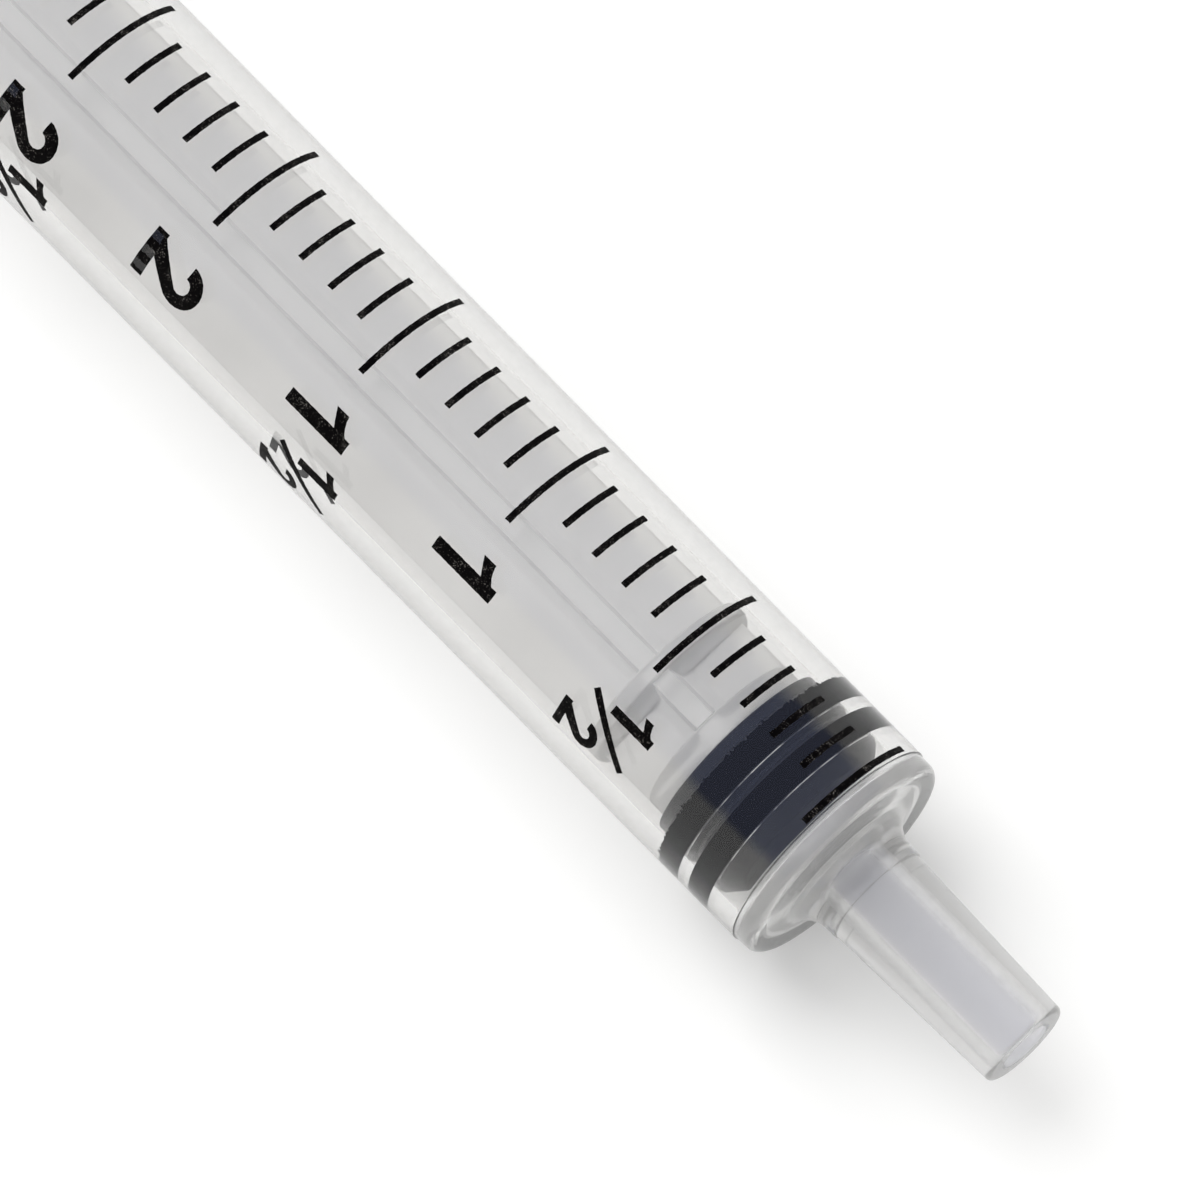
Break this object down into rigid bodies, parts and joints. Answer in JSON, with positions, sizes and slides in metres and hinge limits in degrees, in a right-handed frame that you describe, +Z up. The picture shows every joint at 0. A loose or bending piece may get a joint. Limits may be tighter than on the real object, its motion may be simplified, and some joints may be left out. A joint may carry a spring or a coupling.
{
  "type": "luer slip syringe",
  "caption": "Disposable syringe with a clear barrel, a plain tapered luer slip nozzle, a black rubber stopper and a finned plunger rod that slides and turns.",
  "frame": {"origin": "centre of the open end of the luer nozzle", "axes": "+X along the barrel from the nozzle to the thumb rest, +Z up out of the printed side, with the syringe lying down on its flange and front rim"},
  "size_m": [0.0938, 0.02, 0.0126],
  "materials": {
    "clear_plastic": "glossy, clear with a slight milky haze",
    "black_rubber": "satin, lightly oiled",
    "milky_plastic": "satin, translucent white"
  },
  "bodies": {
    "barrel": {"barrel": "clear_plastic"},
    "stopper": {"plunger_stopper": "black_rubber"},
    "rod": {"plunger_rod": "milky_plastic"}
  },
  "joints": [
    {"name": "plunger_slide", "type": "slide", "parent": "barrel", "child": "stopper", "axis": [1, 0, 0], "range_m": [-0.00125, 0.0556]},
    {"name": "plunger_twist", "type": "hinge", "parent": "stopper", "child": "rod", "pos_m": [0.0155, 0, 0], "axis": [1, 0, 0], "continuous": true}
  ]
}
